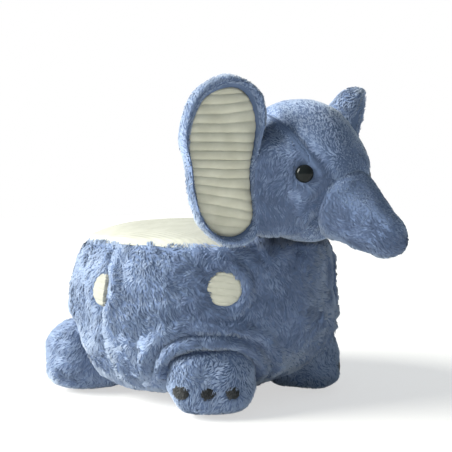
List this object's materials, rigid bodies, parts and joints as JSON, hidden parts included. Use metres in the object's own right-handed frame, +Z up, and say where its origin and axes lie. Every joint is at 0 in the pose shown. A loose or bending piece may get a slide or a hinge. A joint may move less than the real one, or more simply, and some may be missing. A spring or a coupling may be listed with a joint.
{
  "type": "stuffed elephant seat",
  "caption": "Plush elephant floor seat: drum-shaped stuffed body with a ribbed seat top, trunk, large ears, short splayed legs and a tail.",
  "frame": {"origin": "on the floor under the middle of the body, at the centre of the base panel's underside", "axes": "+Z up, -Y towards the face, +X towards the elephant's left side"},
  "size_m": [0.3916, 0.6141, 0.43],
  "materials": {
    "plush": "short matted long-pile plush, dusty blue",
    "ribbed_cloth": "cream fine-ribbed cloth",
    "base_cloth": "plain woven base cloth",
    "filling": "white polyester fibre",
    "toenail_cloth": "dark grey short-nap cloth",
    "eye_plastic": "polished black",
    "lock_plastic": "natural moulded"
  },
  "bodies": {
    "body": {"base_panel": "base_cloth", "body_cushion": "filling", "body_wall_front": "plush", "body_wall_rear": "plush", "seat_panel": "ribbed_cloth", "spot_left_front": "ribbed_cloth", "spot_left_rear": "ribbed_cloth", "spot_right_front": "ribbed_cloth", "spot_right_rear": "ribbed_cloth"},
    "head": {"chin_panel": "plush", "eye_left": "eye_plastic", "eye_right": "eye_plastic", "eye_washer_left": "lock_plastic", "eye_washer_right": "lock_plastic", "head_filling": "filling", "head_gusset": "plush", "head_side_left": "plush", "head_side_right": "plush"},
    "trunk": {"trunk_cover": "plush", "trunk_filling": "filling"},
    "ear_right": {"ear_back_right": "plush", "ear_filling_right": "filling", "ear_lining_right": "ribbed_cloth"},
    "ear_left": {"ear_back_left": "plush", "ear_filling_left": "filling", "ear_lining_left": "ribbed_cloth"},
    "leg_front_right": {"leg_cover_front_right": "plush", "leg_filling_front_right": "filling", "toenail_front_right_1": "toenail_cloth", "toenail_front_right_2": "toenail_cloth", "toenail_front_right_3": "toenail_cloth"},
    "leg_front_left": {"leg_cover_front_left": "plush", "leg_filling_front_left": "filling", "toenail_front_left_1": "toenail_cloth", "toenail_front_left_2": "toenail_cloth", "toenail_front_left_3": "toenail_cloth"},
    "leg_rear_right": {"leg_cover_rear_right": "plush", "leg_filling_rear_right": "filling"},
    "leg_rear_left": {"leg_cover_rear_left": "plush", "leg_filling_rear_left": "filling"},
    "tail": {"tail": "plush", "tail_tuft": "plush"}
  },
  "joints": [
    {"name": "head_nod", "type": "hinge", "parent": "body", "child": "head", "pos_m": [0, -0.152, 0.222], "axis": [1, 0, 0], "range_deg": [-6, 6], "stiffness_Nm_per_rad": 20},
    {"name": "trunk_flex", "type": "hinge", "parent": "head", "child": "trunk", "pos_m": [0, -0.255, 0.278], "axis": [1, 0, 0], "range_deg": [-12, 12], "stiffness_Nm_per_rad": 2},
    {"name": "ear_right_flap", "type": "hinge", "parent": "head", "child": "ear_right", "pos_m": [-0.0845, -0.193, 0.31], "axis": [-0.2577, 0, -0.9662], "range_deg": [-18, 15], "stiffness_Nm_per_rad": 0.5},
    {"name": "ear_left_flap", "type": "hinge", "parent": "head", "child": "ear_left", "pos_m": [0.0845, -0.193, 0.31], "axis": [-0.2577, 0, 0.9662], "range_deg": [-18, 15], "stiffness_Nm_per_rad": 0.5},
    {"name": "leg_front_right_lift", "type": "hinge", "parent": "body", "child": "leg_front_right", "pos_m": [-0.07489, -0.09248, 0.062], "axis": [-0.7771, 0.6293, 0], "range_deg": [0, 12], "stiffness_Nm_per_rad": 3},
    {"name": "leg_front_left_lift", "type": "hinge", "parent": "body", "child": "leg_front_left", "pos_m": [0.07489, -0.09248, 0.062], "axis": [-0.7771, -0.6293, 0], "range_deg": [0, 12], "stiffness_Nm_per_rad": 3},
    {"name": "leg_rear_right_lift", "type": "hinge", "parent": "body", "child": "leg_rear_right", "pos_m": [-0.10717, 0.08373, 0.062], "axis": [0.6157, 0.788, 0], "range_deg": [0, 12], "stiffness_Nm_per_rad": 3},
    {"name": "leg_rear_left_lift", "type": "hinge", "parent": "body", "child": "leg_rear_left", "pos_m": [0.10717, 0.08373, 0.062], "axis": [0.6157, -0.788, 0], "range_deg": [0, 12], "stiffness_Nm_per_rad": 3},
    {"name": "tail_lift", "type": "hinge", "parent": "body", "child": "tail", "pos_m": [0, 0.212, 0.172], "axis": [1, 0, 0], "range_deg": [-4, 50], "stiffness_Nm_per_rad": 0.02}
  ]
}
